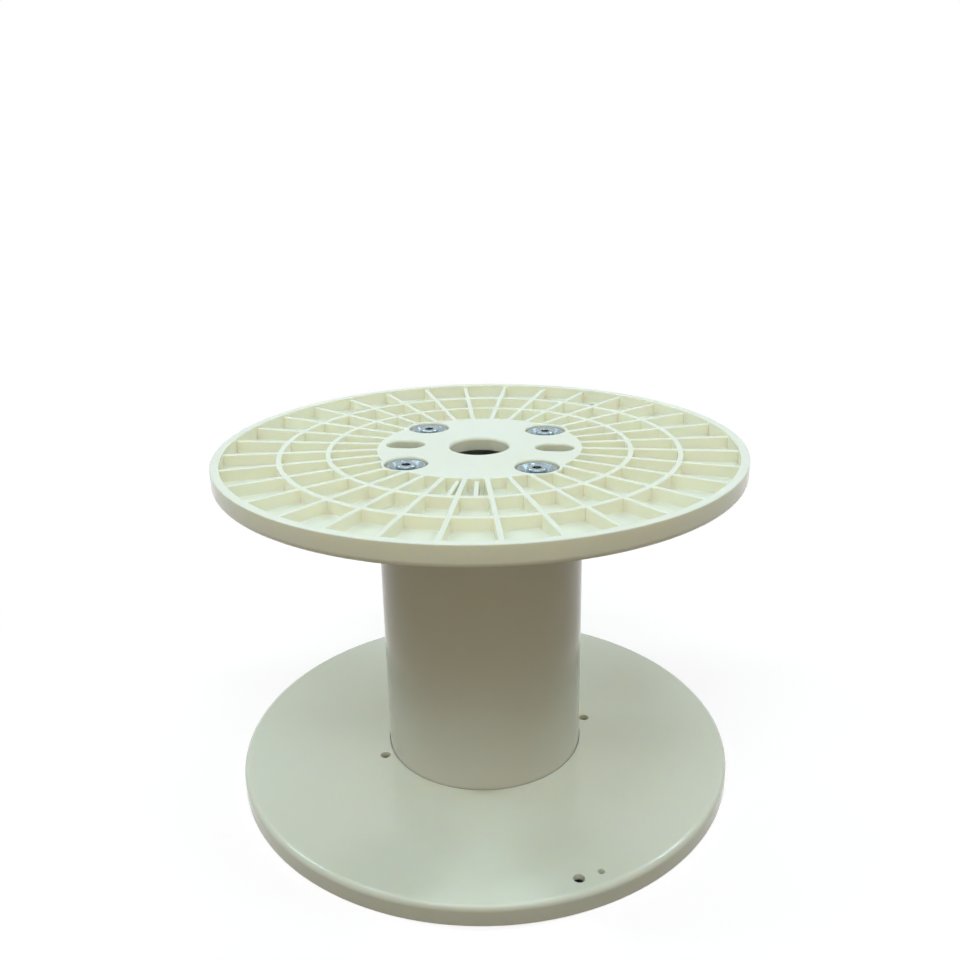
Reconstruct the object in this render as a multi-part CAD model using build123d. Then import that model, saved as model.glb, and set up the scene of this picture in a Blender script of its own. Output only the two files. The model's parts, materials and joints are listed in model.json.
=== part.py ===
from build123d import *
import os

# Empty moulded spool for steel wire. Millimetres, +Z up, standing on its lower flange.
# The origin is on the floor under the middle of the bore. X runs through the drive slots.

# Spool as a whole
FLANGE_DIAMETER = 500.0
FLANGE_THICKNESS = 20.0
TRAVERSE = 300.0
OVERALL_WIDTH = TRAVERSE + 2 * FLANGE_THICKNESS
BARREL_DIAMETER = 200.0
BARREL_WALL = 6.0
BARREL_SEAT_DEPTH = 2.5
BARREL_SEAT_GAP = 0.4

# Flange moulding, seen from its outer face
RIM_WIDTH = 8.0
RIM_LIP = 2.5
RIM_OUTER_CHAMFER = 0.8
RIM_INNER_CHAMFER = 0.6
RIM_WINDING_CHAMFER = 3.0
WEB_THICKNESS = 6.0
RIB_COUNT = 32
RIB_THICKNESS = 4.8
RING_RADII = (143.5, 189.0)
RING_THICKNESS = 5.2
SHORT_RIB_ANGLES = (266.2, 276.0)
SHORT_RIB_THICKNESS = 4.2
SHORT_RIB_DROP = 2.5

# Hub of the flange
HUB_RADIUS = 98.0
HUB_PLATE = 7.5
HUB_WALL = 6.0
BORE_DIAMETER = 56.0
BORE_CHAMFER = 1.0
BORE_COLLAR_WALL = 7.0
COLLAR_DEPTH = 13.5
HUB_RIB_COUNT = 8
HUB_RIB_THICKNESS = 5.0
DRIVE_SLOT_OFFSET = 72.0
DRIVE_SLOT_LENGTH = 36.0
DRIVE_SLOT_WIDTH = 25.0
DRIVE_SLOT_ANGLES = (0.0, 180.0)
SLOT_COLLAR_WALL = 5.0

# Tie bolts with their washers and nuts
BOLT_CIRCLE_RADIUS = 84.0
BOLT_ANGLES = (45.0, 135.0, 225.0, 315.0)
BOLT_DIAMETER = 12.0
BOLT_HOLE_DIAMETER = 13.0
BOSS_RADIUS = 23.0
RECESS_RADIUS = 19.75
RECESS_DEPTH = 8.5
WASHER_RADIUS = 18.5
WASHER_HOLE_RADIUS = 6.3
WASHER_THICKNESS = 1.5
HEAD_RADIUS = 9.5
HEAD_HEIGHT = 6.0
HEAD_CHAMFER = 1.0
HEXAGON = 6
SOCKET_ACROSS_FLATS = 8.0
SOCKET_DEPTH = 4.0
NUT_ACROSS_FLATS = 18.0
NUT_HEIGHT = 6.0
BOLT_END_PAST_NUT = 0.5

# Holes that hold the ends of the wire: (radius on the flange, angle, diameter)
WIRE_HOLES = (
    (110.0, -18.2, 10.0),
    (110.0, 150.6, 10.0),
    (232.5, 62.9, 10.0),
    (233.0, 57.7, 6.0),
)

# How far ribs run into the walls they join, and cuts run past the faces they open
JOIN = 2.0
OVERRUN = 1.0

# Heights inside one flange, from its winding face (0) to its rim face
FLANGE_RADIUS = FLANGE_DIAMETER / 2
RIM_FACE = FLANGE_THICKNESS
HUB_FACE = FLANGE_THICKNESS - RIM_LIP
HUB_UNDERSIDE = HUB_FACE - HUB_PLATE
COLLAR_END = HUB_FACE - COLLAR_DEPTH
RECESS_FLOOR = HUB_FACE - RECESS_DEPTH
WASHER_FACE = RECESS_FLOOR + WASHER_THICKNESS


def revolved(points, chamfers=()):
    """Turn a closed outline of (radius, height) points about Z.

    `chamfers` holds (radius, height, size) for the outline corners to break.
    """
    outline = make_face(Polyline(*points, close=True))
    for radius, height, size in chamfers:
        corner = outline.vertices().sort_by_distance((radius, height))[0]
        outline = chamfer(corner, size)
    return revolve(Plane.XZ * outline, Axis.Z)


def ring(inner, outer, low, high):
    """A plain turned ring between two radii and two heights."""
    return revolved([(inner, low), (outer, low), (outer, high), (inner, high)])


def prism(outline, low, high):
    """Raise a flat outline from one height to another."""
    return extrude(Plane.XY.offset(low) * outline, high - low)


def spoke(angle, inner, outer, thickness, low, high):
    """A straight radial rib standing between two heights."""
    plate = Pos((inner + outer) / 2, 0) * Rectangle(outer - inner, thickness)
    return Rot(0, 0, angle) * prism(plate, low, high)


def at_bolts(shape):
    """Copies of a shape made on the Z axis, one at each tie bolt."""
    return [Rot(0, 0, angle) * Pos(BOLT_CIRCLE_RADIUS, 0, 0) * shape for angle in BOLT_ANGLES]


def drive_slot(angle, growth=0.0):
    """Outline of a drive slot, grown outward where its collar is wanted."""
    outline = SlotOverall(DRIVE_SLOT_LENGTH + 2 * growth, DRIVE_SLOT_WIDTH + 2 * growth)
    return Rot(0, 0, angle) * Pos(DRIVE_SLOT_OFFSET, 0) * outline


def flange_shell():
    """Web, rim, ring ribs and hub, all turned about the axis."""
    rim_inside = FLANGE_RADIUS - RIM_WIDTH
    hub_wall_inside = HUB_RADIUS - HUB_WALL
    bore_radius = BORE_DIAMETER / 2
    shell = revolved(
        [
            (hub_wall_inside, 0),
            (FLANGE_RADIUS, 0),
            (FLANGE_RADIUS, RIM_FACE),
            (rim_inside, RIM_FACE),
            (rim_inside, WEB_THICKNESS),
            (HUB_RADIUS, WEB_THICKNESS),
            (HUB_RADIUS, HUB_FACE),
            (bore_radius, HUB_FACE),
            (bore_radius, COLLAR_END),
            (bore_radius + BORE_COLLAR_WALL, COLLAR_END),
            (bore_radius + BORE_COLLAR_WALL, HUB_UNDERSIDE),
            (hub_wall_inside, HUB_UNDERSIDE),
        ],
        [
            (FLANGE_RADIUS, 0, RIM_WINDING_CHAMFER),
            (FLANGE_RADIUS, RIM_FACE, RIM_OUTER_CHAMFER),
            (rim_inside, RIM_FACE, RIM_INNER_CHAMFER),
            (bore_radius, HUB_FACE, BORE_CHAMFER),
        ],
    )
    half = RING_THICKNESS / 2
    rings = [ring(r - half, r + half, WEB_THICKNESS, HUB_FACE) for r in RING_RADII]
    return shell + rings


def flange_ribs():
    """The radial ribs, the two short ribs and the ribs under the hub."""
    rim_inside = FLANGE_RADIUS - RIM_WIDTH
    hub_edge = HUB_RADIUS - JOIN
    root = WEB_THICKNESS - JOIN
    step = 360 / RIB_COUNT
    ribs = []
    for number in range(RIB_COUNT):
        ribs.append(spoke(number * step, hub_edge, rim_inside + JOIN, RIB_THICKNESS, root, HUB_FACE))
    short_top = HUB_FACE - SHORT_RIB_DROP
    for angle in SHORT_RIB_ANGLES:
        ribs.append(spoke(angle, hub_edge, RING_RADII[0], SHORT_RIB_THICKNESS, root, short_top))
    inner = BORE_DIAMETER / 2 + BORE_COLLAR_WALL - JOIN
    outer = HUB_RADIUS - HUB_WALL + JOIN
    hub_step = 360 / HUB_RIB_COUNT
    for number in range(HUB_RIB_COUNT):
        angle = (number + 0.5) * hub_step
        ribs.append(spoke(angle, inner, outer, HUB_RIB_THICKNESS, COLLAR_END, HUB_UNDERSIDE + JOIN))
    return ribs


def flange_bosses():
    """Bolt bosses, which bulge past the hub, and the collars of the drive slots."""
    bosses = at_bolts(prism(Circle(BOSS_RADIUS), COLLAR_END, HUB_FACE))
    for angle in DRIVE_SLOT_ANGLES:
        bosses.append(prism(drive_slot(angle, SLOT_COLLAR_WALL), COLLAR_END, HUB_UNDERSIDE + JOIN))
    return bosses


def flange_cuts():
    """Everything taken out of the flange: barrel seat, slots, bolt recesses and wire holes."""
    barrel_outside = BARREL_DIAMETER / 2
    barrel_inside = barrel_outside - BARREL_WALL
    seat_inside = barrel_inside - BARREL_SEAT_GAP
    seat_outside = barrel_outside + BARREL_SEAT_GAP
    cuts = [ring(seat_inside, seat_outside, -OVERRUN, BARREL_SEAT_DEPTH)]
    for angle in DRIVE_SLOT_ANGLES:
        cuts.append(prism(drive_slot(angle), -OVERRUN, RIM_FACE))
    bolt_hole = prism(Circle(BOLT_HOLE_DIAMETER / 2), -OVERRUN, RIM_FACE)
    recess = prism(Circle(RECESS_RADIUS), RECESS_FLOOR, RIM_FACE)
    cuts.extend(at_bolts(bolt_hole + recess))
    for radius, angle, diameter in WIRE_HOLES:
        hole = prism(Circle(diameter / 2), -OVERRUN, WEB_THICKNESS + OVERRUN)
        cuts.append(Rot(0, 0, angle) * Pos(radius, 0, 0) * hole)
    return cuts


def make_flange():
    """One flange moulding with its winding face at height 0."""
    body = flange_shell() + (flange_ribs() + flange_bosses())
    return body - flange_cuts()


def make_barrel():
    """Plain tube, seated a little way into both flanges."""
    outside = BARREL_DIAMETER / 2
    low = FLANGE_THICKNESS - BARREL_SEAT_DEPTH
    high = OVERALL_WIDTH - low
    return ring(outside - BARREL_WALL, outside, low, high)


def make_washer():
    """Wide steel washer on the floor of a bolt recess, at its height in the flange."""
    return ring(WASHER_HOLE_RADIUS, WASHER_RADIUS, RECESS_FLOOR, WASHER_FACE)


def make_tie_bolt():
    """Socket-headed bolt that reaches from the upper washer to the lower nut."""
    head_seat = OVERALL_WIDTH - FLANGE_THICKNESS + WASHER_FACE
    head_top = head_seat + HEAD_HEIGHT
    nut_seat = FLANGE_THICKNESS - WASHER_FACE
    end = nut_seat - NUT_HEIGHT - BOLT_END_PAST_NUT
    shank = BOLT_DIAMETER / 2
    bolt = revolved(
        [
            (0, end),
            (shank, end),
            (shank, head_seat),
            (HEAD_RADIUS, head_seat),
            (HEAD_RADIUS, head_top),
            (0, head_top),
        ],
        [(HEAD_RADIUS, head_top, HEAD_CHAMFER)],
    )
    key = RegularPolygon(SOCKET_ACROSS_FLATS / 2, HEXAGON, major_radius=False)
    return bolt - prism(key, head_top - SOCKET_DEPTH, head_top + OVERRUN)


def make_nut():
    """Plain hexagon nut in a recess of the lower flange."""
    nut_seat = FLANGE_THICKNESS - WASHER_FACE
    hexagon = RegularPolygon(NUT_ACROSS_FLATS / 2, HEXAGON, major_radius=False)
    outline = hexagon - Circle(BOLT_DIAMETER / 2)
    return prism(outline, nut_seat - NUT_HEIGHT, nut_seat)


def assemble():
    """All the pieces of the spool in place, by node name."""
    flange = make_flange()
    washer = make_washer()
    upper = Pos(0, 0, OVERALL_WIDTH - FLANGE_THICKNESS)
    lower = Pos(0, 0, FLANGE_THICKNESS) * Rot(180, 0, 0)
    pieces = {
        "flange_top": upper * flange,
        "flange_bottom": lower * flange,
        "barrel": make_barrel(),
    }
    groups = {
        "tie_bolt": at_bolts(make_tie_bolt()),
        "washer_top": at_bolts(upper * washer),
        "washer_bottom": at_bolts(lower * washer),
        "nut": at_bolts(make_nut()),
    }
    for name, copies in groups.items():
        for number, copy in enumerate(copies, start=1):
            pieces[f"{name}_{number}"] = copy
    return pieces


os.makedirs("parts", exist_ok=True)
for node, piece in assemble().items():
    export_step(piece, f"parts/{node}.step")
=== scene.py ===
"""Empty ivory wire spool on a pale floor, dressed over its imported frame."""
import json
import logging
import math
from dataclasses import dataclass
from enum import Enum
from typing import ClassVar

import bpy
import numpy as np
from mathutils import Matrix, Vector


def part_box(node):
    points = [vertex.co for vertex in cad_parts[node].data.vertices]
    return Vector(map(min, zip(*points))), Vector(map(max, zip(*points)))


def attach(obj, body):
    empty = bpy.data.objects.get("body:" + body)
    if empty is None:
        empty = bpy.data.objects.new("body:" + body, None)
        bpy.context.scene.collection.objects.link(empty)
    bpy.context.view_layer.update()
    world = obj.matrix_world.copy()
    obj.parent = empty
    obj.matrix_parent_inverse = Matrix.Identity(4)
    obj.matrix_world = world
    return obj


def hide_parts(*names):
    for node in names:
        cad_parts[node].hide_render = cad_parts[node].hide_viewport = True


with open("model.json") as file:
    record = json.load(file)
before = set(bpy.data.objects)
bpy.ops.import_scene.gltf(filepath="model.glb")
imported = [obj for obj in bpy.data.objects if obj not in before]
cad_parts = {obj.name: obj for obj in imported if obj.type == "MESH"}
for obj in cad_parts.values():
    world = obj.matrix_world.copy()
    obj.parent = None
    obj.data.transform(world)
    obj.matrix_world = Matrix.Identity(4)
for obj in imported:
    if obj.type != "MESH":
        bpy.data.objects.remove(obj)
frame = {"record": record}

log = logging.getLogger("spool")
Array = np.ndarray
Colour = tuple[float, float, float]
Pair = tuple[float, float]
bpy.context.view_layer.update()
MM = 0.001
BODY = "root"
SMOOTH_ANGLE = math.radians(38)
BARREL_WALL = 6.0


class Slot(Enum):
    """Material slots of the record that the pieces take their finish from."""

    FLANGE = "flange_plastic"
    BARREL = "barrel_plastic"
    STEEL = "zinc_steel"


class Side(Enum):
    """The two ends of the spool."""

    TOP = "top"
    BOTTOM = "bottom"


class Pattern(Enum):
    """Textures that the finishes are made of, by their node type."""

    NOISE = "ShaderNodeTexNoise"
    CELLS = "ShaderNodeTexVoronoi"


def node_box(node: str) -> tuple[Array, Array]:
    """Lowest and highest corner of a frame node, in millimetres."""
    low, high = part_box(node)
    return np.array(low) / MM, np.array(high) / MM


def mount(name: str) -> dict:
    """The record's mount of that name."""
    return next(m for m in frame["record"]["mounts"] if m["name"] == name)


def quarter_round(radius: float, steps: int) -> tuple[Array, Array]:
    """Quarter of a convex round.

    At angle a from 0 to a right angle the run is radius * sin(a) and the drop is
    radius * (1 - cos(a)).

    Args:
        radius: radius of the round.
        steps: number of facets.

    Returns:
        The run and the drop of each point.
    """
    angle = np.linspace(0, math.pi / 2, steps + 1)
    return radius * np.sin(angle), radius * (1 - np.cos(angle))


def grid_quads(rows: int, columns: int, wrap_rows: bool) -> Array:
    """Corner numbers of every quad of a grid whose columns go all the way round.

    Args:
        rows: number of rows.
        columns: number of columns.
        wrap_rows: whether the last row joins the first.

    Returns:
        One line of four corner numbers for each quad.
    """
    first = np.arange(rows if wrap_rows else rows - 1)[:, None]
    second = (first + 1) % rows
    here = np.arange(columns)
    after = (here + 1) % columns
    lower = [first * columns + here, first * columns + after]
    upper = [second * columns + after, second * columns + here]
    return np.stack(lower + upper, axis=-1).reshape(-1, 4)


def grid_object(name: str, points: Array, wrap_rows: bool) -> bpy.types.Object:
    """Object from a grid of points in millimetres, closed and facing outwards.

    A grid whose rows don't wrap gets a flat cap on its first and last row. The signed
    volume, a sum of corner triple products, tells whether the faces have to be turned.

    Args:
        name: name of the object.
        points: array of rows by columns by three.
        wrap_rows: whether the last row joins the first.

    Returns:
        The new object, in the scene.
    """
    rows, columns = points.shape[:2]
    flat = points.reshape(-1, 3)
    quads = grid_quads(rows, columns, wrap_rows)
    a, b, c, d = (flat[quads[:, k]] for k in range(4))
    volume = np.sum(a * np.cross(b, c)) + np.sum(a * np.cross(c, d))
    caps = []
    if not wrap_rows:
        ring = np.arange(columns)
        caps = [ring[::-1].tolist(), (ring + (rows - 1) * columns).tolist()]
        for cap in caps:
            fan = flat[cap]
            volume += np.sum(fan[0] * np.cross(fan[1:-1], fan[2:]))
    if volume < 0:
        quads = quads[:, ::-1]
        caps = [cap[::-1] for cap in caps]
    mesh = bpy.data.meshes.new(name)
    mesh.from_pydata((flat * MM).tolist(), [], quads.tolist() + caps)
    mesh.update()
    piece = bpy.data.objects.new(name, mesh)
    bpy.context.collection.objects.link(piece)
    return piece


def turned(profile: Array, columns: int, centre: Pair = (0, 0)) -> Array:
    """Grid of a profile turned about an upright axis.

    Point (r, z) of the profile goes to (r * cos(t), r * sin(t), z) at each angle t. The
    angles lie half a step off the axes.

    Args:
        profile: lines of radius and height.
        columns: number of angles.
        centre: where the axis stands.

    Returns:
        Array of profile points by columns by three.
    """
    angle = (np.arange(columns) + 0.5) * 2 * math.pi / columns
    radius, height = profile[:, :1], profile[:, 1:2]
    x = centre[0] + radius * np.cos(angle)
    y = centre[1] + radius * np.sin(angle)
    return np.stack([x, y, np.broadcast_to(height, x.shape)], axis=-1)


def spoke(angle: float, along: Array, across: Array, level: Array) -> Array:
    """Grid of a straight bar that runs outwards from the axis.

    A point lies at its distance along the bearing plus its offset square to it.

    Args:
        angle: bearing of the bar.
        along: distance of each row from the axis, as a column.
        across: offset of each column from the bar's middle.
        level: height of each column.

    Returns:
        Array of rows by columns by three.
    """
    x = along * np.cos(angle) - across * np.sin(angle)
    y = along * np.sin(angle) + across * np.cos(angle)
    return np.stack([x, y, np.broadcast_to(level, x.shape)], axis=-1)


def hexagon(apothem: float, angle: Array) -> Array:
    """Radius of a hexagon in each direction: apothem / cos(angle from the nearest flat)."""
    flat = math.pi / 3
    return apothem / np.cos((angle + flat / 2) % flat - flat / 2)


def set_axes(holder: bpy.types.Object, x: Array, y: Array, z: Array, place: Array) -> None:
    """Put a lamp or camera in its place by its three axes, and link it to the scene.

    Args:
        holder: the lamp's or camera's object.
        x: its own x axis.
        y: its own y axis.
        z: its own z axis, opposite to where it looks.
        place: where it stands.
    """
    matrix = np.eye(4)
    matrix[:3] = np.stack([x, y, z, place], axis=1)
    holder.matrix_world = Matrix(matrix.tolist())
    bpy.context.collection.objects.link(holder)


@dataclass(frozen=True)
class PlasticFinish:
    """Glossy moulded ivory plastic: a little cloudy, with sparse dirt specks."""

    name: str
    colour: Colour
    cloud_colour: Colour
    roughness: Pair = (0.10, 0.17)
    gloss: float = 0.5
    translucence: float = 0.5
    depth: float = 0.006
    scatter: Colour = (1.0, 0.85, 0.55)
    noise_span: Pair = (0.3, 0.7)
    detail: float = 1.0
    cloud_scale: float = 7.0
    gloss_scale: float = 16.0
    ripple_scale: float = 70.0
    ripple: float = 0.03
    ripple_height: float = 0.001
    speck_scale: float = 34.0
    speck: float = 0.045
    speck_core: float = 0.6
    speck_colour: Colour = (0.20, 0.17, 0.11)

    def material(self) -> bpy.types.Material:
        """Build the node material.

        Returns:
            The material: clouds and specks in the colour, noise in the gloss and a ripple in
            the normal, all on the piece's own coordinates.
        """
        made = bpy.data.materials.new(self.name)
        made.use_nodes = True
        nodes, links = made.node_tree.nodes, made.node_tree.links
        shader = nodes["Principled BSDF"]
        place = nodes.new("ShaderNodeTexCoord")

        def pattern(kind: Pattern, scale: float) -> bpy.types.Node:
            """Texture on the piece's own coordinates.

            Args:
                kind: which texture.
                scale: how fine it is.

            Returns:
                The texture's node.
            """
            node = nodes.new(kind.value)
            node.inputs["Scale"].default_value = scale
            node.inputs["Detail"].default_value = self.detail
            links.new(place.outputs["Object"], node.inputs["Vector"])
            return node

        def spread(source: bpy.types.Node, span: Pair, to: Pair) -> bpy.types.Node:
            """Map a stretch of a pattern to a stretch of values by a soft step.

            Args:
                source: the pattern.
                span: where the step starts and ends in the pattern.
                to: the values at both ends.

            Returns:
                The mapping's node.
            """
            node = nodes.new("ShaderNodeMapRange")
            node.interpolation_type = "SMOOTHSTEP"
            node.inputs["From Min"].default_value, node.inputs["From Max"].default_value = span
            node.inputs["To Min"].default_value, node.inputs["To Max"].default_value = to
            links.new(source.outputs[0], node.inputs["Value"])
            return node

        def tint(share: bpy.types.Node, under: bpy.types.Node | None, over: Colour) -> bpy.types.Node:
            """Lay a colour over another by a share.

            Args:
                share: how much of the upper colour shows.
                under: the mix below, or none for the plain colour.
                over: the upper colour.

            Returns:
                The mix's node.
            """
            node = nodes.new("ShaderNodeMix")
            node.data_type = "RGBA"
            node.inputs["A"].default_value = (*self.colour, 1)
            node.inputs["B"].default_value = (*over, 1)
            if under is not None:
                links.new(under.outputs["Result"], node.inputs["A"])
            links.new(share.outputs[0], node.inputs["Factor"])
            return node

        clouds = spread(pattern(Pattern.NOISE, self.cloud_scale), self.noise_span, (0.0, 1.0))
        cloudy = tint(clouds, None, self.cloud_colour)
        speck_span = (self.speck_core * self.speck, self.speck)
        specks = spread(pattern(Pattern.CELLS, self.speck_scale), speck_span, (1.0, 0.0))
        dirty = tint(specks, cloudy, self.speck_colour)
        links.new(dirty.outputs["Result"], shader.inputs["Base Color"])
        shader.inputs["Specular IOR Level"].default_value = self.gloss
        shader.inputs["Subsurface Weight"].default_value = self.translucence
        shader.inputs["Subsurface Radius"].default_value = self.scatter
        shader.inputs["Subsurface Scale"].default_value = self.depth
        shine = spread(pattern(Pattern.NOISE, self.gloss_scale), self.noise_span, self.roughness)
        links.new(shine.outputs[0], shader.inputs["Roughness"])
        bump = nodes.new("ShaderNodeBump")
        bump.inputs["Strength"].default_value = self.ripple
        bump.inputs["Distance"].default_value = self.ripple_height
        ripples = pattern(Pattern.NOISE, self.ripple_scale)
        links.new(ripples.outputs[0], bump.inputs["Height"])
        links.new(bump.outputs["Normal"], shader.inputs["Normal"])
        return made


@dataclass(frozen=True)
class ZincFinish:
    """Bright zinc plate with a faint grain."""

    name: str
    colour: Colour = (0.305, 0.37, 0.395)
    roughness: Pair = (0.15, 0.30)
    noise_span: Pair = (0.3, 0.7)
    grain_scale: float = 300.0
    grain_detail: float = 4.0

    def material(self) -> bpy.types.Material:
        """Build the node material.

        Returns:
            The material: plain metal with noise in its gloss.
        """
        made = bpy.data.materials.new(self.name)
        made.use_nodes = True
        nodes, links = made.node_tree.nodes, made.node_tree.links
        shader = nodes["Principled BSDF"]
        shader.inputs["Metallic"].default_value = 1.0
        shader.inputs["Base Color"].default_value = (*self.colour, 1)
        place = nodes.new("ShaderNodeTexCoord")
        grain = nodes.new(Pattern.NOISE.value)
        grain.inputs["Scale"].default_value = self.grain_scale
        grain.inputs["Detail"].default_value = self.grain_detail
        links.new(place.outputs["Object"], grain.inputs["Vector"])
        gloss = nodes.new("ShaderNodeMapRange")
        gloss.inputs["From Min"].default_value, gloss.inputs["From Max"].default_value = self.noise_span
        gloss.inputs["To Min"].default_value, gloss.inputs["To Max"].default_value = self.roughness
        links.new(grain.outputs[0], gloss.inputs["Value"])
        links.new(gloss.outputs[0], shader.inputs["Roughness"])
        return made


FLANGE_IVORY = PlasticFinish("flange_ivory", (0.955, 0.915, 0.765), (0.935, 0.89, 0.735), gloss=0.42)
# The barrel's ivory is painted darker and greyer than the flanges': painted shade for the shadow that the
# upper flange throws over the barrel.
SHADED_BARREL_IVORY = PlasticFinish(
    "barrel_ivory", (0.73, 0.725, 0.66), (0.70, 0.695, 0.63), gloss=0.22, translucence=0.0
)
ZINC_PLATE = ZincFinish("zinc_plate")


class Dressed:
    """A sub-assembly whose pieces stand for frame nodes and take the finish of one slot."""

    slot: ClassVar[Slot]

    def dress(self, piece: bpy.types.Object, material: bpy.types.Material, node: str) -> None:
        """Shade and finish a piece, attach it to the body and hide the node that it stands for.
        """
        piece.data.shade_smooth()
        piece.data.set_sharp_from_angle(angle=SMOOTH_ANGLE)
        normals = piece.modifiers.new("flat_faces_stay_flat", "WEIGHTED_NORMAL")
        normals.keep_sharp = True
        piece.data.materials.clear()
        piece.data.materials.append(material)
        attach(piece, BODY)
        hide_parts(node)
        log.info("%s stands for %s with %d faces", piece.name, node, len(piece.data.polygons))


@dataclass
class Flange(Dressed):
    """One flange moulding, built once and set at both ends. Sizes in millimetres.

    Heights run from the winding face at 0 to the rim face.
    """

    slot: ClassVar[Slot] = Slot.FLANGE
    radius: float
    thickness: float
    barrel_inside: float
    barrel_outside: float
    seat_depth: float
    bore: float
    bolts: Array
    slot_offset: float
    slot_length: float
    slot_width: float
    wire_holes: list[tuple[float, float, float]]
    web: float = 6.0
    rim_width: float = 8.0
    rim_lip: float = 2.5
    rim_outer_round: float = 0.9
    rim_inner_round: float = 0.8
    winding_round: float = 5.8
    rib_count: int = 32
    rib_half: float = 2.4
    ring_radii: Pair = (143.5, 189.0)
    ring_half: float = 2.6
    edge_round: float = 0.8
    root_fillet: float = 1.6
    draft: float = 0.25
    hub: float = 98.0
    hub_plate: float = 7.5
    hub_wall: float = 6.0
    hub_depth: float = 13.5
    hub_rib_count: int = 8
    hub_rib_half: float = 2.5
    hub_edge: float = 0.5
    collar_wall: float = 7.0
    slot_collar: float = 5.0
    bore_round: float = 3.2
    boss: float = 23.0
    boss_blend: float = 1.2
    recess: float = 19.75
    recess_depth: float = 8.5
    recess_round: float = 1.8
    slot_round: float = 2.4
    bolt_hole: float = 6.5
    wire_hole_edge: float = 0.4
    seat_gap: float = 0.6
    seat_edge: float = 0.4
    short_rib_angles: Pair = (266.2, 276.0)
    short_rib_half: float = 2.1
    short_rib_drop: float = 2.5
    short_rib_join: float = 3.0
    join: float = 2.0
    plate_join: float = 1.0
    apart: float = 0.01
    overcut: float = 1.0
    flare_end: float = 80.0
    cell_columns: int = 3
    around: int = 64
    around_wire_hole: int = 32

    @property
    def face(self) -> float:
        """Height of the hub and the rib tops."""
        return self.thickness - self.rim_lip

    @property
    def hub_end(self) -> float:
        """Height at which the hub's collars, bosses and ribs end."""
        return self.face - self.hub_depth

    def wall(self, top: float, edge: float) -> tuple[Array, Array]:
        """Side of a rib: round at the top, slightly drafted wall, fillet at the root.

        Args:
            top: height of the rib's top.
            edge: radius of the round at the top.

        Returns:
            Distance outwards from the wall's upper line, and height.
        """
        run, drop = quarter_round(edge, 3)
        rise, reach = quarter_round(self.root_fillet, 3)
        out = np.concatenate([run - edge, self.draft + reach])
        height = np.concatenate([top - drop, self.web + self.root_fillet - rise])
        return out, height

    def profile(self) -> tuple[Array, Array, Array, Array]:
        """Closed outline of the flange: over the ribbed side, the rim and the winding side to the bore.

        Returns:
            Radius and height of each row, whether the row follows the bosses, and whether
            ribs stand on it.
        """
        out, height = self.wall(self.face, self.edge_round)
        radii, heights = [self.hub + out], [height]
        for ring in self.ring_radii:
            radii += [ring - self.ring_half - out[::-1], ring + self.ring_half + out]
            heights += [height[::-1], height]
        rim_out, rim_height = self.wall(self.thickness, self.rim_inner_round)
        rim_inside = self.radius - self.rim_width
        radii.append(rim_inside - rim_out[::-1])
        heights.append(rim_height[::-1])
        ribbed = sum(len(r) for r in radii)
        run, drop = quarter_round(self.rim_outer_round, 4)
        radii.append(self.radius - self.rim_outer_round + run)
        heights.append(self.thickness - drop)
        run, drop = quarter_round(self.winding_round, 9)
        radii.append(self.radius - drop)
        heights.append(self.winding_round - run)
        seat_out = self.barrel_outside + self.seat_gap
        seat_in = self.barrel_inside - self.seat_gap
        seat_top = self.seat_depth
        skirt = self.hub - self.hub_wall
        collar = self.bore + self.collar_wall
        plate = self.face - self.hub_plate
        end = self.hub_end
        radii.append(np.array([seat_out + self.seat_edge, seat_out, seat_out, seat_in, seat_in]))
        heights.append(np.array([0, self.seat_edge, seat_top, seat_top, 0]))
        radii.append(np.array([skirt, skirt, collar, collar]))
        heights.append(np.array([0, plate, plate, end]))
        run, drop = quarter_round(self.bore_round, 6)
        radii.append(np.concatenate([[self.bore + self.hub_edge, self.bore], self.bore + drop]))
        heights.append(np.concatenate([[end, end + self.hub_edge], self.face - self.bore_round + run]))
        radius, height = np.concatenate(radii), np.concatenate(heights)
        count = np.arange(len(radius))
        return radius, height, count < len(out), count < ribbed

    def columns(self) -> tuple[Array, Array, Array, Array]:
        """Columns of the grid: across each rib, then over the cell to the next one.

        Returns:
            Angle of the rib, offset from its middle, share of the way over the cell, and
            rib height.
        """
        out, height = self.wall(self.face, self.edge_round)
        offset = self.rib_half + out
        across = np.concatenate([-offset[::-1], [0.0], offset])
        tall = np.concatenate([height[::-1], [self.face], height])
        share = np.linspace(0, 1, self.cell_columns + 2)[1:-1]
        pitch = 2 * math.pi / self.rib_count
        rib = np.arange(self.rib_count) * pitch
        size = len(across) + len(share)
        angle = np.repeat(rib, size)
        offsets = np.tile(np.concatenate([across, np.full(len(share), offset[-1])]), self.rib_count)
        shares = np.tile(np.concatenate([np.zeros(len(across)), share]), self.rib_count)
        heights = np.tile(np.concatenate([tall, np.full(len(share), self.web)]), self.rib_count)
        return angle, offsets, shares, heights

    def bulge(self, angle: Array) -> Array:
        """How far the bosses stand out of the hub's circle.

        A boss's edge lies at d * cos(a) + sqrt(b * b - (d * sin(a)) ** 2), with d the bolt
        circle, b the boss radius and a the angle from the bolt. A soft step blends it in.

        Args:
            angle: directions from the axis.

        Returns:
            Distance past the hub's circle in each direction.
        """
        circle = np.hypot(*self.bolts[0])
        quarter = math.pi / 2
        bolt = math.atan2(self.bolts[0][1], self.bolts[0][0])
        turn = (angle - bolt + quarter / 2) % quarter - quarter / 2
        inside = self.boss**2 - (circle * np.sin(turn)) ** 2
        edge = circle * np.cos(turn) + np.sqrt(np.maximum(inside, 0)) - self.hub
        edge = np.where(inside > 0, edge, -self.hub)
        return 0.5 * (edge + np.sqrt(edge**2 + self.boss_blend**2))

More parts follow.
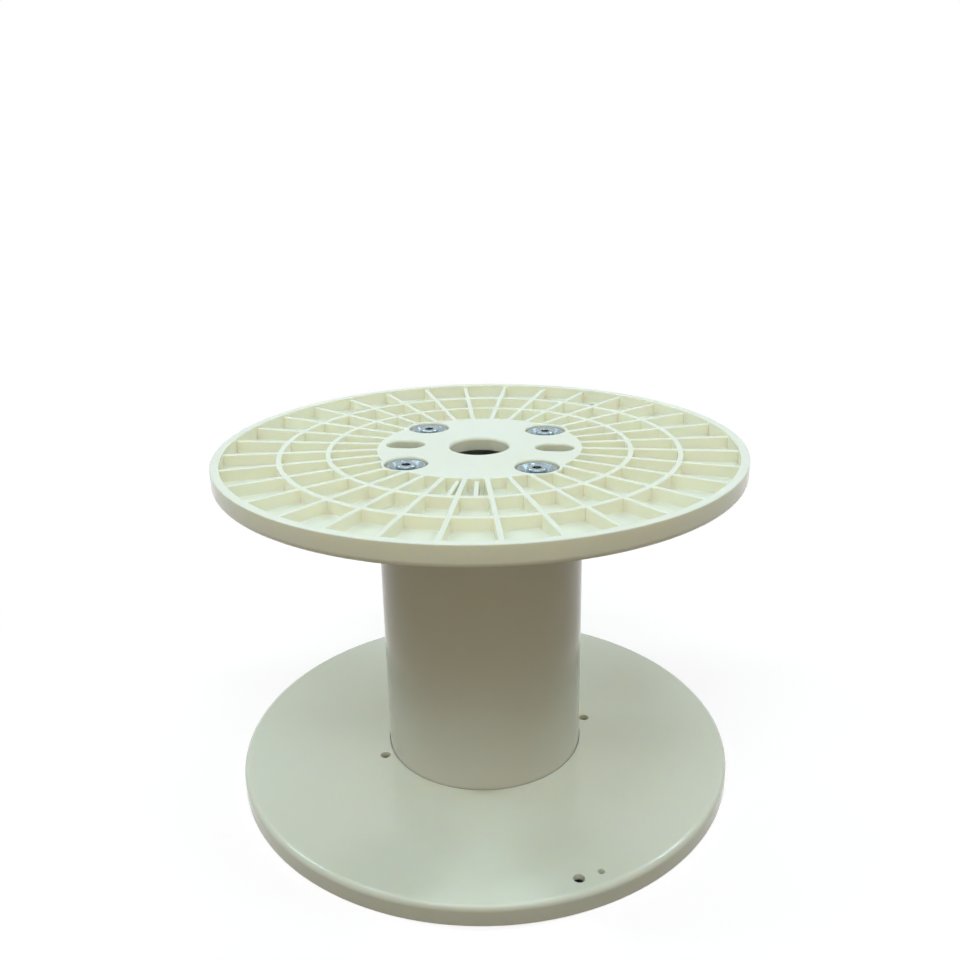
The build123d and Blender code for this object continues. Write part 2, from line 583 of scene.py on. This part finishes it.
    def grid(self) -> Array:
        """Points of the whole moulding before its holes are cut.

        The height at a row and column is the greater of the row's own height and the rib's.
        A column keeps its offset in millimetres from the rib's middle, so its angle is the
        rib's angle plus asin(offset / radius); over a cell it goes evenly to the next rib.

        Returns:
            Array of rows by columns by three.
        """
        radius, height, at_hub, ribbed = self.profile()
        angle, offset, share, tall = self.columns()
        lean = np.arcsin(offset / np.maximum(radius, self.hub)[:, None])
        pitch = 2 * math.pi / self.rib_count
        theta = angle + lean + share * (pitch - 2 * lean)
        reach = radius[:, None] + np.where(at_hub[:, None], self.bulge(theta), 0)
        level = np.where(ribbed[:, None], np.maximum(height[:, None], tall), height[:, None])
        return np.stack([reach * np.cos(theta), reach * np.sin(theta), level], axis=-1)

    def flared(self, radius: float, low: float, edge: float) -> Array:
        """Profile of a cutter that opens out in a round where it leaves the hub's face.

        At angle a the round lies edge * (1 - cos(a)) outside the cutter and
        edge * (1 - sin(a)) below the face.

        Args:
            radius: radius of the cutter below the face.
            low: height at which it starts.
            edge: radius of the round.

        Returns:
            Lines of radius and height.
        """
        angle = np.radians(np.linspace(0, self.flare_end, 7))
        out, height = radius + edge * (1 - np.cos(angle)), self.face - edge * (1 - np.sin(angle))
        flare = np.stack([out, height], axis=-1)
        top = flare[-1] + (0, edge + self.overcut)
        return np.concatenate([[(radius, low)], flare, [top]])

    def at_slots(self, name: str, profile: Array) -> list[bpy.types.Object]:
        """Bodies with a drive slot's outline: a turned profile pulled apart along X.

        Args:
            name: name of the bodies.
            profile: lines of radius and height about each end of the slot.

        Returns:
            One body at each drive slot.
        """
        shift = (self.slot_length - self.slot_width) / 2
        made = []
        for side in (1, -1):
            points = turned(profile, self.around)
            points[..., 0] += np.sign(points[..., 0]) * shift + side * self.slot_offset
            made.append(grid_object(name, points, False))
        return made

    def at_bolts(self, name: str, profile: Array) -> list[bpy.types.Object]:
        """One body turned from a profile of radius and height about each bolt."""
        return [grid_object(name, turned(profile, self.around, tuple(bolt)), False) for bolt in self.bolts]

    def cutters(self) -> list[bpy.types.Object]:
        """Tools that cut the holes.

        Returns:
            Bodies of the bolt recesses, the drive slots and the wire holes.
        """
        floor = self.face - self.recess_depth
        shaft = [(self.bolt_hole, -self.overcut), (self.bolt_hole, floor)]
        recess = np.concatenate([shaft, self.flared(self.recess, floor, self.recess_round)])
        made = self.at_bolts("recess", recess)
        made += self.at_slots("slot", self.flared(self.slot_width / 2, -self.overcut, self.slot_round))
        edge = self.wire_hole_edge
        for x, y, hole in self.wire_holes:
            drill = [
                (hole + edge + self.overcut, -self.overcut),
                (hole + edge, -2 * self.apart),
                (hole, edge),
                (hole, self.web + self.overcut),
            ]
            points = turned(np.array(drill), self.around_wire_hole, (x, y))
            made.append(grid_object("wire_hole", points, False))
        return made

    def hub_underside(self) -> list[bpy.types.Object]:
        """Ribs, bolt bosses and slot collars that stiffen the hub plate from below.

        Returns:
            Their bodies. Bosses and collars end a hair lower than the ribs, so that no two
            faces lie in one plane.
        """
        made = []
        end, soft = self.hub_end, self.hub_edge
        root = self.face - self.hub_plate + self.plate_join
        side = np.array([1, 1, 1, -1, -1, -1])
        across = side * self.hub_rib_half - soft * np.array([0, 0, 1, -1, 0, 0])
        level = np.array([root, end + soft, end, end, end + soft, root])
        inner, outer = self.bore + self.collar_wall - self.join, self.hub - self.hub_wall + self.join
        along = np.array([inner, outer])[:, None]
        for angle in (np.arange(self.hub_rib_count) + 0.5) * 2 * math.pi / self.hub_rib_count:
            made.append(grid_object("hub_rib", spoke(angle, along, across, level), False))
        end = end - self.apart
        boss = [(self.boss - soft, end), (self.boss, end + soft), (self.boss, root)]
        made += self.at_bolts("bolt_boss", np.array(boss))
        reach = self.slot_width / 2 + self.slot_collar
        collar = [(reach - soft, end), (reach, end + soft), (reach, root)]
        made += self.at_slots("slot_collar", np.array(collar))
        return made

    def short_ribs(self) -> list[bpy.types.Object]:
        """The two low ribs from the hub to the first ring, with rounded tops.

        Returns:
            Their bodies.
        """
        top = self.face - self.short_rib_drop
        out, height = self.wall(top, self.edge_round)
        offset = self.short_rib_half + out
        across = np.concatenate([-offset[::-1], offset, [offset[-1], -offset[-1]]])
        root = self.web - self.join
        tall = np.concatenate([height[::-1], height, [root, root]])
        along = np.array([self.hub - self.short_rib_join, self.ring_radii[0]])[:, None]
        bearings = np.radians(self.short_rib_angles)
        return [grid_object("short_rib", spoke(angle, along, across, tall), False) for angle in bearings]

    def moulding(self) -> bpy.types.Mesh:
        """Add the short ribs and the hub's underside to the grid, and cut the holes.

        Returns:
            The mesh at the flange's own heights.
        """
        body = grid_object("flange_body", self.grid(), True)
        added = self.short_ribs() + self.hub_underside()
        tools = [("UNION", tool) for tool in added] + [("DIFFERENCE", tool) for tool in self.cutters()]
        for operation, tool in tools:
            step = body.modifiers.new("shape", "BOOLEAN")
            step.operation = operation
            step.solver = "EXACT"
            step.object = tool
        shaped = bpy.data.meshes.new_from_object(body.evaluated_get(bpy.context.evaluated_depsgraph_get()))
        for _, tool in tools:
            bpy.data.objects.remove(tool)
        bpy.data.objects.remove(body)
        return shaped

    def set_in_place(self, mesh: bpy.types.Mesh, side: Side) -> bpy.types.Object:
        """Copy the mesh to one end of the spool.

        The upper flange is raised to its seat. The lower one is turned half round about X first.

        Args:
            mesh: the flange at its own heights.
            side: which end.

        Returns:
            The piece.
        """
        low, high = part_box(f"flange_{side.value}")
        placed = mesh.copy()
        points = np.empty(len(placed.vertices) * 3)
        placed.vertices.foreach_get("co", points)
        points = points.reshape(-1, 3)
        if side is Side.TOP:
            points[:, 2] += low[2]
        else:
            points[:, 1] *= -1
            points[:, 2] = high[2] - points[:, 2]
        placed.vertices.foreach_set("co", points.ravel())
        placed.update()
        piece = bpy.data.objects.new(f"ribbed_flange_{side.value}", placed)
        bpy.context.collection.objects.link(piece)
        return piece

    def build(self, material: bpy.types.Material) -> None:
        """Make the moulding, then set and dress it at both ends.

        Args:
            material: the flanges' plastic.
        """
        mesh = self.moulding()
        for side in Side:
            self.dress(self.set_in_place(mesh, side), material, f"flange_{side.value}")


@dataclass
class Barrel(Dressed):
    """Plain tube between the flanges. Sizes in millimetres."""

    slot: ClassVar[Slot] = Slot.BARREL
    inside: float
    outside: float
    low: float
    high: float
    edge: float = 0.6
    end_band: float = 4.0
    columns: int = 256

    def build(self, material: bpy.types.Material) -> None:
        """Turn the tube's closed outline about the axis and dress it.

        Args:
            material: the barrel's plastic.
        """
        run, drop = quarter_round(self.edge, 3)
        upper = np.stack([self.outside - self.edge + run, self.high - drop], axis=-1)
        lower = np.stack([self.outside - drop, self.low + self.edge - run], axis=-1)
        middle = [(self.outside, self.high - self.end_band), (self.outside, self.low + self.end_band)]
        inner = [(self.inside, self.low), (self.inside, self.high)]
        outline = np.concatenate([upper, middle, lower, inner])
        tube = grid_object("barrel_tube", turned(outline, self.columns), True)
        self.dress(tube, material, "barrel")


@dataclass
class Washer(Dressed):
    """Dished washer: flat middle, flared wall and a rolled brim. Sizes in millimetres.

    The bends are run and rise of the sheet's two faces past the corner of the flat middle
    and past the corner of the brim.
    """

    slot: ClassVar[Slot] = Slot.STEEL
    centre: Pair
    radius: float
    seat: float
    outward: int
    hole: float = 6.3
    sheet: float = 1.5
    floor: float = 10.8
    brim_inside: float = 16.2
    rise: float = 4.9
    upper_floor_bend: tuple[Pair, Pair] = ((-1.0, 0.0), (0.0, 0.25))
    upper_brim_bend: tuple[Pair, Pair] = ((-0.6, -0.35), (0.4, 0.0))
    lower_brim_bend: tuple[Pair, Pair] = ((1.0, 0.0), (0.2, -0.3))
    lower_floor_bend: tuple[Pair, Pair] = ((1.0, 0.3), (0.0, 0.0))
    columns: int = 96

    def outline(self) -> Array:
        """Closed section of the dish, round its upper face, its brim and its lower face.

        Returns:
            Lines of radius and height above the seat.
        """
        sheet, half = self.sheet, self.sheet / 2
        angle = np.linspace(math.pi / 2, -math.pi / 2, 7)
        lip_middle = self.radius - half
        lip = np.stack([lip_middle + half * np.cos(angle), self.rise + half + half * np.sin(angle)], axis=-1)
        floor, brim = np.array([self.floor, 0.0]), np.array([self.brim_inside, self.rise])
        up = np.array([0.0, sheet])
        upper = [[(self.hole, sheet)], floor + up + self.upper_floor_bend, brim + up + self.upper_brim_bend]
        lower = [brim + self.lower_brim_bend, floor + self.lower_floor_bend, [(self.hole, 0.0)]]
        return np.concatenate([*upper, lip, *lower])

    def build(self, name: str, material: bpy.types.Material, node: str) -> None:
        """Turn the section about the bolt, set it on its seat and dress it.

        Args:
            name: name of the piece.
            material: its steel.
            node: the node that it stands for.
        """
        points = turned(self.outline(), self.columns, self.centre)
        points[..., 2] = self.seat + self.outward * points[..., 2]
        self.dress(grid_object(name, points, True), material, node)


@dataclass
class TieBolt(Dressed):
    """Bolt with a low domed head and a hexagon socket. Sizes in millimetres."""

    slot: ClassVar[Slot] = Slot.STEEL
    centre: Pair
    end: float
    top: float
    turn: float
    head: float = 9.5
    head_height: float = 6.0
    head_round: float = 1.6
    head_edge: float = 0.2
    shank: float = 6.0
    shank_edge: float = 1.0
    socket: float = 4.0
    socket_depth: float = 4.0
    socket_edge_depth: float = 0.5
    socket_bevel: float = 0.2
    socket_bevel_depth: float = 0.15
    socket_corner: float = 0.35
    socket_rim: float = 1.4
    columns: int = 96

    def build(self, name: str, material: bpy.types.Material, node: str) -> None:
        """Carry a circle or hexagon along rows from the socket's floor over the head and down the shank.

        Args:
            name: name of the piece.
            material: its steel.
            node: the node that it stands for.
        """
        angle = np.linspace(0, 2 * math.pi, self.columns, endpoint=False)
        hexagonal = hexagon(self.socket, angle + self.turn)
        seat = self.top - self.head_height
        bevelled = np.maximum(hexagonal, self.socket + self.socket_corner) + self.socket_bevel
        rows = [
            (hexagonal, self.top - self.socket_depth),
            (hexagonal, self.top - self.socket_edge_depth),
            (bevelled, self.top - self.socket_bevel_depth),
            (self.socket + self.socket_rim, self.top),
        ]
        run, drop = quarter_round(self.head_round, 5)
        rows += zip(self.head - self.head_round + run, self.top - drop)
        rows += [(self.head, seat + self.head_edge), (self.head - self.head_edge, seat), (self.shank, seat)]
        rows += [(self.shank, self.end + self.shank_edge), (self.shank - self.shank_edge, self.end)]
        radius = np.array([np.broadcast_to(r, angle.shape) for r, _ in rows])
        height = np.array([h for _, h in rows])[:, None]
        x = self.centre[0] + radius * np.cos(angle)
        y = self.centre[1] + radius * np.sin(angle)
        points = np.stack([x, y, np.broadcast_to(height, x.shape)], axis=-1)
        self.dress(grid_object(name, points, False), material, node)


@dataclass
class Nut(Dressed):
    """Hexagon nut with its corners chamfered. Sizes in millimetres."""

    slot: ClassVar[Slot] = Slot.STEEL
    centre: Pair
    low: float
    high: float
    turn: float
    apothem: float = 9.0
    bore: float = 6.0
    edge: float = 0.5
    crown_share: float = 0.955
    corner_share: float = 0.985
    corner_slope: float = math.tan(math.radians(30))
    columns: int = 96

    def build(self, name: str, material: bpy.types.Material, node: str) -> None:
        """Carry circles and hexagons along rows round the nut's section.

        Each corner drops by the slope times its reach past the flats.

        Args:
            name: name of the piece.
            material: its steel.
            node: the node that it stands for.
        """
        angle = np.linspace(0, 2 * math.pi, self.columns, endpoint=False)
        outer = hexagon(self.apothem, angle + self.turn)
        fall = self.corner_slope * np.maximum(outer - self.apothem * self.corner_share, 0)
        crown = self.apothem * self.crown_share
        eased = self.bore + self.edge
        rows = [
            (self.bore, self.low + self.edge),
            (eased, self.low),
            (crown, self.low),
            (outer, self.low + fall),
            (outer, self.high - fall),
            (crown, self.high),
            (eased, self.high),
            (self.bore, self.high - self.edge),
        ]
        radius = np.array([np.broadcast_to(r, angle.shape) for r, _ in rows])
        height = np.array([np.broadcast_to(h, angle.shape) for _, h in rows])
        x = self.centre[0] + radius * np.cos(angle)
        y = self.centre[1] + radius * np.sin(angle)
        self.dress(grid_object(name, np.stack([x, y, height], axis=-1), True), material, node)


@dataclass
class BoltSet:
    """One tie bolt with its two washers and its nut, each at its node's place."""

    number: int
    socket_turn: float = 0.4
    nut_turn: float = 0.3

    def build(self, steel: bpy.types.Material) -> None:
        """Build the set's pieces.

        Args:
            steel: the finish of all four.
        """
        k = self.number
        low, high = node_box(f"tie_bolt_{k}")
        centre = tuple(((low + high) / 2)[:2])
        bolt = TieBolt(centre, low[2], high[2], self.socket_turn * k)
        bolt.build(f"socket_bolt_{k}", steel, f"tie_bolt_{k}")
        for side, outward in ((Side.TOP, 1), (Side.BOTTOM, -1)):
            node = f"washer_{side.value}_{k}"
            low, high = node_box(node)
            seat = low[2] if side is Side.TOP else high[2]
            washer = Washer(centre, (high[0] - low[0]) / 2, seat, outward)
            washer.build(f"dished_washer_{side.value}_{k}", steel, node)
        low, high = node_box(f"nut_{k}")
        Nut(centre, low[2], high[2], self.nut_turn * k).build(f"hexagon_nut_{k}", steel, f"nut_{k}")


@dataclass(frozen=True)
class Lamp:
    """One soft lamp, aimed at the spool's axis. Lengths in metres, angles in degrees."""

    x: float
    y: float
    along: float
    length: float
    power: float
    colour: Colour
    height: float = 2.6
    width: float = 0.14
    aim_height: float = 0.17
    beam: float = 180.0

    def hang(self) -> None:
        """Hang the lamp: its light goes towards its aim and its length lies along its bearing."""
        lamp = bpy.data.lights.new("soft_lamp", "AREA")
        lamp.shape = "RECTANGLE"
        lamp.size = self.width
        lamp.size_y = self.length
        lamp.energy = self.power
        lamp.color = self.colour
        lamp.spread = math.radians(self.beam)
        place = np.array([self.x, self.y, self.height])
        back = place - np.array([0.0, 0.0, self.aim_height])
        back /= np.linalg.norm(back)
        turn = math.radians(self.along)
        long = np.array([math.cos(turn), math.sin(turn), 0.0])
        across = np.cross(long, back)
        across /= np.linalg.norm(across)
        set_axes(bpy.data.objects.new("soft_lamp", lamp), across, np.cross(back, across), back, place)


COOL = (0.66, 0.88, 1.0)
PALE = (0.86, 0.94, 1.0)
WARM = (1.0, 0.85, 0.58)


@dataclass
class Studio:
    """Camera at the photograph's viewing angle, pale floor and soft light. Lengths in metres.

    The lamps are ceiling tubes behind and in front of the spool, shorter ones at its sides
    that the rims mirror, and a dim low one that fills the barrel's front.
    """

    camera_reach: float = 0.8524
    camera_height: float = 0.5945
    camera_bearing: float = -82.4
    camera_pitch: float = 18.917
    camera_roll: float = 1.068
    focal_pixels: float = 928.2
    frame_pixels: float = 960.0
    sensor: float = 36.0
    view_end: float = 100.0
    floor_size: float = 30.0
    floor_bounce: Colour = (0.05, 0.043, 0.033)
    floor_shade: Colour = (0.70, 0.61, 0.60)
    floor_glow: float = 0.59
    glow_span: Pair = (0.236, 0.244)
    fade_span: Pair = (0.32, 0.75)
    sky_strength: float = 0.24
    sky_colour: Colour = (0.80, 0.95, 1.0)
    wall_strength: float = 0.29
    wall_colour: Colour = (1.0, 0.81, 0.46)
    sky_span: Pair = (0.40, 0.85)
    lamps: tuple[Lamp, ...] = (
        Lamp(0.0, 1.75, 0, 4.4, 13, COOL),
        Lamp(0.0, -1.45, 0, 1.6, 16, COOL, width=0.8),
        Lamp(0.0, -1.85, 0, 4.4, 10, PALE),
        Lamp(-2.25, 0.34, -36, 0.8, 22, COOL),
        Lamp(2.06, 0.88, 49, 0.7, 22, COOL),
        Lamp(-1.17, -0.28, -17, 0.40, 4, COOL),
        Lamp(0.64, -0.24, 21, 0.50, 4, COOL),
        Lamp(0.12, -0.95, 0, 1.2, 0.18, WARM, height=0.48, width=0.3, aim_height=0.30, beam=60),
    )

    def camera(self) -> None:
        """Aim the camera: its axes come from bearing, pitch and roll in turn."""
        bearing = math.radians(self.camera_bearing)
        pitch = math.radians(self.camera_pitch)
        roll = math.radians(self.camera_roll)
        inward = np.array([-math.cos(bearing), -math.sin(bearing), 0.0])
        right = np.array([inward[1], -inward[0], 0.0])
        up = np.array([0.0, 0.0, 1.0])
        ahead = math.cos(pitch) * inward - math.sin(pitch) * up
        down = -math.sin(pitch) * inward - math.cos(pitch) * up
        right, down = (
            math.cos(roll) * right + math.sin(roll) * down,
            -math.sin(roll) * right + math.cos(roll) * down,
        )
        lens = bpy.data.cameras.new("photo_camera")
        lens.sensor_width = self.sensor
        lens.lens = self.sensor * self.focal_pixels / self.frame_pixels
        lens.clip_end = self.view_end
        camera = bpy.data.objects.new("photo_camera", lens)
        place = -inward * self.camera_reach + up * self.camera_height
        set_axes(camera, right, -down, -ahead, place)
        bpy.context.scene.camera = camera

    def seen(self, tree: bpy.types.NodeTree) -> bpy.types.NodeSocket:
        """Tell rays that look from rays that light.

        Args:
            tree: the node tree that asks.

        Returns:
            One for rays from the camera, a mirror or a glass; nought for rays that light the
            object.
        """
        ray = tree.nodes.new("ShaderNodeLightPath")
        total = ray.outputs["Is Camera Ray"]
        for name in ("Is Glossy Ray", "Is Transmission Ray"):
            step = tree.nodes.new("ShaderNodeMath")
            step.operation = "MAXIMUM"
            tree.links.new(total, step.inputs[0])
            tree.links.new(ray.outputs[name], step.inputs[1])
            total = step.outputs[0]
        return total

    def ramp(self, tree: bpy.types.NodeTree, source: bpy.types.NodeSocket, span: Pair) -> bpy.types.Node:
        """Even rise from nought to one over a stretch of a value.

        Args:
            tree: the node tree.
            source: the value.
            span: where the rise starts and ends.

        Returns:
            The mapping's node.
        """
        node = tree.nodes.new("ShaderNodeMapRange")
        node.inputs["From Min"].default_value, node.inputs["From Max"].default_value = span
        tree.links.new(source, node.inputs["Value"])
        return node

    def mixed(
        self,
        tree: bpy.types.NodeTree,
        share: bpy.types.NodeSocket,
        first: bpy.types.Node,
        second: bpy.types.Node,
    ) -> bpy.types.Node:
        """Mix two shaders.

        Args:
            tree: the node tree.
            share: how much of the second shows.
            first: shader at a share of nought.
            second: shader at a share of one.

        Returns:
            The mix's node.
        """
        node = tree.nodes.new("ShaderNodeMixShader")
        tree.links.new(share, node.inputs[0])
        tree.links.new(first.outputs[0], node.inputs[1])
        tree.links.new(second.outputs[0], node.inputs[2])
        return node

    def floor_paint(self) -> bpy.types.Material:
        """Floor finish: a shaded ring round the spool that fades to plain white.

        Returns:
            The material. To rays that light the object it is dark, so the floor throws no
            light up at the rims.
        """
        paint = bpy.data.materials.new("white_floor")
        paint.use_nodes = True
        tree = paint.node_tree
        nodes, links = tree.nodes, tree.links
        nodes.remove(nodes["Principled BSDF"])
        place = nodes.new("ShaderNodeTexCoord")
        reach = nodes.new("ShaderNodeVectorMath")
        reach.operation = "LENGTH"
        links.new(place.outputs["Object"], reach.inputs[0])
        fade = self.ramp(tree, reach.outputs["Value"], self.fade_span)
        fade.interpolation_type = "SMOOTHSTEP"
        bounce = nodes.new("ShaderNodeBsdfDiffuse")
        bounce.inputs["Color"].default_value = (*self.floor_bounce, 1)
        shade = nodes.new("ShaderNodeBsdfDiffuse")
        shade.inputs["Color"].default_value = (*self.floor_shade, 1)
        lit = self.ramp(tree, reach.outputs["Value"], self.glow_span)
        lit.inputs["To Max"].default_value = self.floor_glow
        glow = nodes.new("ShaderNodeEmission")
        links.new(lit.outputs[0], glow.inputs["Strength"])
        white = nodes.new("ShaderNodeEmission")
        white.inputs["Strength"].default_value = 1.0
        near = nodes.new("ShaderNodeAddShader")
        links.new(shade.outputs[0], near.inputs[0])
        links.new(glow.outputs[0], near.inputs[1])
        ground = self.mixed(tree, fade.outputs[0], near, white)
        either = self.mixed(tree, self.seen(tree), bounce, ground)
        links.new(either.outputs[0], nodes["Material Output"].inputs["Surface"])
        return paint

    def floor(self) -> None:
        """Large white floor that keeps the object's shadow and fades into the background."""
        half = self.floor_size / 2
        corners = [(-half, -half, 0), (half, -half, 0), (half, half, 0), (-half, half, 0)]
        mesh = bpy.data.meshes.new("floor")
        mesh.from_pydata(corners, [], [(0, 1, 2, 3)])
        mesh.materials.append(self.floor_paint())
        floor = bpy.data.objects.new("floor", mesh)
        bpy.context.collection.objects.link(floor)

    def light(self) -> None:
        """Hang the lamps, and set a cool sky above dim warm walls that looks white."""
        for lamp in self.lamps:
            lamp.hang()
        world = bpy.data.worlds.new("cool_sky_over_warm_walls")
        bpy.context.scene.world = world
        world.use_nodes = True
        tree = world.node_tree
        nodes, links = tree.nodes, tree.links
        walls = nodes["Background"]
        walls.inputs["Color"].default_value = (*self.wall_colour, 1)
        walls.inputs["Strength"].default_value = self.wall_strength
        sky = nodes.new("ShaderNodeBackground")
        sky.inputs["Color"].default_value = (*self.sky_colour, 1)
        sky.inputs["Strength"].default_value = self.sky_strength
        white = nodes.new("ShaderNodeBackground")
        white.inputs["Color"].default_value = (1, 1, 1, 1)
        white.inputs["Strength"].default_value = 1.0
        place = nodes.new("ShaderNodeTexCoord")
        axes = nodes.new("ShaderNodeSeparateXYZ")
        links.new(place.outputs["Generated"], axes.inputs[0])
        rise = self.ramp(tree, axes.outputs["Z"], self.sky_span)
        rise.interpolation_type = "SMOOTHSTEP"
        dim = self.mixed(tree, rise.outputs[0], walls, sky)
        either = self.mixed(tree, self.seen(tree), dim, white)
        links.new(either.outputs[0], nodes["World Output"].inputs["Surface"])

    def build(self) -> None:
        """Set up the floor, the light and the camera."""
        bpy.context.scene.view_settings.view_transform = "Standard"
        self.floor()
        self.light()
        self.camera()


def flange_from_frame() -> Flange:
    """Read the flange's driving sizes from the frame and its record.

    Returns:
        The flange, not yet built.
    """
    low, high = node_box("flange_top")
    barrel_low, barrel_high = node_box("barrel")
    slots = mount("drive_slots_top")["dims"]
    mounts = frame["record"]["mounts"]
    holes = [m for m in mounts if m["name"].startswith("wire_") and m["name"].endswith("_top")]
    bolts = [np.mean(node_box(f"tie_bolt_{k}"), axis=0)[:2] for k in range(1, 5)]
    outside = round((barrel_high[0] - barrel_low[0]) / 2, 1)
    return Flange(
        radius=float(min(np.abs([low[:2], high[:2]]).ravel())),
        thickness=high[2] - low[2],
        barrel_inside=outside - BARREL_WALL,
        barrel_outside=outside,
        seat_depth=barrel_high[2] - low[2],
        bore=mount("spindle_bore")["dims"]["r_mm"],
        bolts=np.array(bolts),
        slot_offset=slots["spacing_x_mm"] / 2,
        slot_length=slots["slot_length_mm"],
        slot_width=2 * slots["hole_r_mm"],
        wire_holes=[(m["pos_m"][0] / MM, m["pos_m"][1] / MM, m["dims"]["r_mm"]) for m in holes],
    )


def main() -> None:
    """Build the spool piece by piece."""
    logging.basicConfig(level=logging.INFO, format="%(name)s: %(message)s")
    Studio().build()
    flange = flange_from_frame()
    low, high = node_box("barrel")
    barrel = Barrel(flange.barrel_inside, flange.barrel_outside, low[2], high[2])
    flange.build(FLANGE_IVORY.material())
    barrel.build(SHADED_BARREL_IVORY.material())
    steel = ZINC_PLATE.material()
    for number in range(1, 5):
        BoltSet(number).build(steel)


if __name__ == "__main__":
    main()
